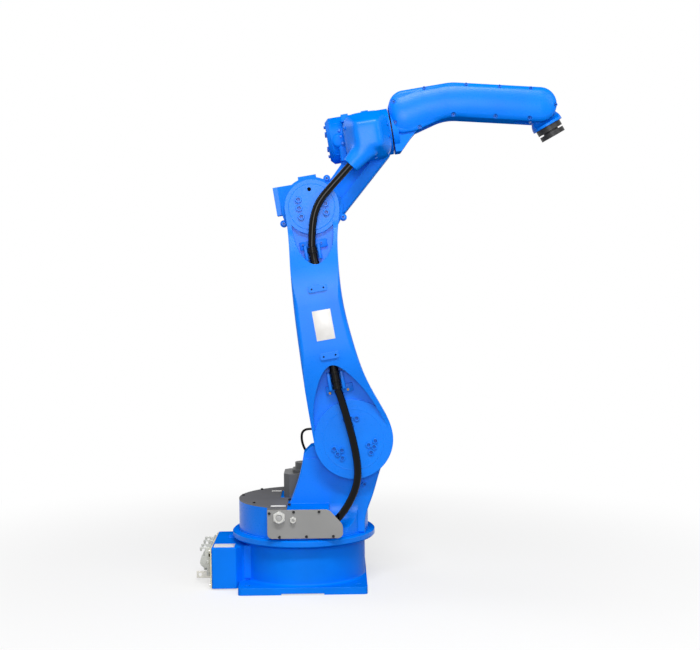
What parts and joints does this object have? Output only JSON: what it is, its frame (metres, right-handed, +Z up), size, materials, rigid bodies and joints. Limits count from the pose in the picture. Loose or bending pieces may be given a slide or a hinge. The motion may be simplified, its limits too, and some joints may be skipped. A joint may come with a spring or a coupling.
{
  "type": "industrial robot arm",
  "caption": "Floor-mounted six-axis industrial robot arm: bolted base, swing turntable, leaning lower arm, elbow, gooseneck forearm, bending wrist and tool flange.",
  "frame": {"origin": "on the swing axis, at the underside of the base's feet", "axes": "+Z up along the swing axis, +X the way the arm reaches at rest, the lower arm on the -Y side"},
  "size_m": [1.1805, 0.4609, 1.56],
  "materials": {
    "blue_paint": "semi-gloss azure blue paint with a fine orange peel",
    "steel": "machined steel",
    "dark_steel": "blackened steel, satin",
    "motor_grey": "dark grey paint, satin",
    "black_plastic": "black moulded plastic",
    "cast_aluminium": "die-cast aluminium, silver grey",
    "cream_panel": "cream plate",
    "zinc": "zinc-plated steel",
    "deck_grey": "mid grey paint, satin",
    "cover_grey": "light grey paint, satin",
    "gland_plastic": "light grey plastic",
    "hose_rubber": "black, slightly glossy"
  },
  "bodies": {
    "base": {"base_casting": "blue_paint", "swing_reducer": "steel", "connector_panel": "cream_panel", "plug_near": "cast_aluminium", "plug_far": "cast_aluminium", "hood_near": "cast_aluminium", "hood_far": "cast_aluminium", "earth_tab": "zinc"},
    "turntable": {"swing_casting": "blue_paint", "deck_cover": "deck_grey", "side_cover": "cover_grey", "gland_large": "gland_plastic", "gland_small": "gland_plastic", "swing_motor": "motor_grey", "swing_encoder": "black_plastic", "shoulder_motor": "motor_grey", "shoulder_encoder": "black_plastic", "shoulder_reducer": "steel", "hose_lower": "hose_rubber", "motor_cable": "hose_rubber"},
    "lower_arm": {"lower_arm": "blue_paint", "fitting_lower": "black_plastic", "fitting_upper": "black_plastic", "clamp_lower": "blue_paint", "clamp_upper": "blue_paint"},
    "elbow": {"elbow_casting": "blue_paint", "elbow_reducer": "steel", "elbow_box": "blue_paint", "elbow_motor": "motor_grey", "elbow_encoder": "black_plastic", "roll_side_cover": "blue_paint", "roll_rear_cover": "blue_paint", "roll_reducer": "steel", "hose_upper": "hose_rubber"},
    "forearm": {"forearm_casting": "blue_paint", "forearm_cover_near": "blue_paint", "forearm_cover_far": "blue_paint"},
    "wrist": {"wrist_housing": "blue_paint", "wrist_gear_ring": "dark_steel"},
    "flange": {"tool_flange": "dark_steel"}
  },
  "joints": [
    {"name": "swing", "type": "hinge", "parent": "base", "child": "turntable", "pos_m": [0, 0, 0.1435], "axis": [0, 0, 1], "range_deg": [-167, 167]},
    {"name": "shoulder", "type": "hinge", "parent": "turntable", "child": "lower_arm", "pos_m": [0.16, -0.1125, 0.465], "axis": [0, 1, 0], "range_deg": [-75, 95], "deforming": ["hose_lower"]},
    {"name": "elbow", "type": "hinge", "parent": "lower_arm", "child": "elbow", "pos_m": [0.04117, -0.1125, 1.17513], "axis": [0, -1, 0], "range_deg": [-80, 110], "deforming": ["hose_upper"]},
    {"name": "forearm_roll", "type": "hinge", "parent": "elbow", "child": "forearm", "pos_m": [0.28989, 0, 1.41701], "axis": [0.9877, 0, 0.1564], "range_deg": [-150, 150]},
    {"name": "wrist_bend", "type": "hinge", "parent": "forearm", "child": "wrist", "pos_m": [0.75065, 0, 1.48999], "axis": [0, 1, 0], "range_deg": [-155, 40]},
    {"name": "tool_roll", "type": "hinge", "parent": "wrist", "child": "flange", "pos_m": [0.79404, 0, 1.41171], "axis": [0.4848, 0, -0.8746], "range_deg": [-220, 220]}
  ]
}
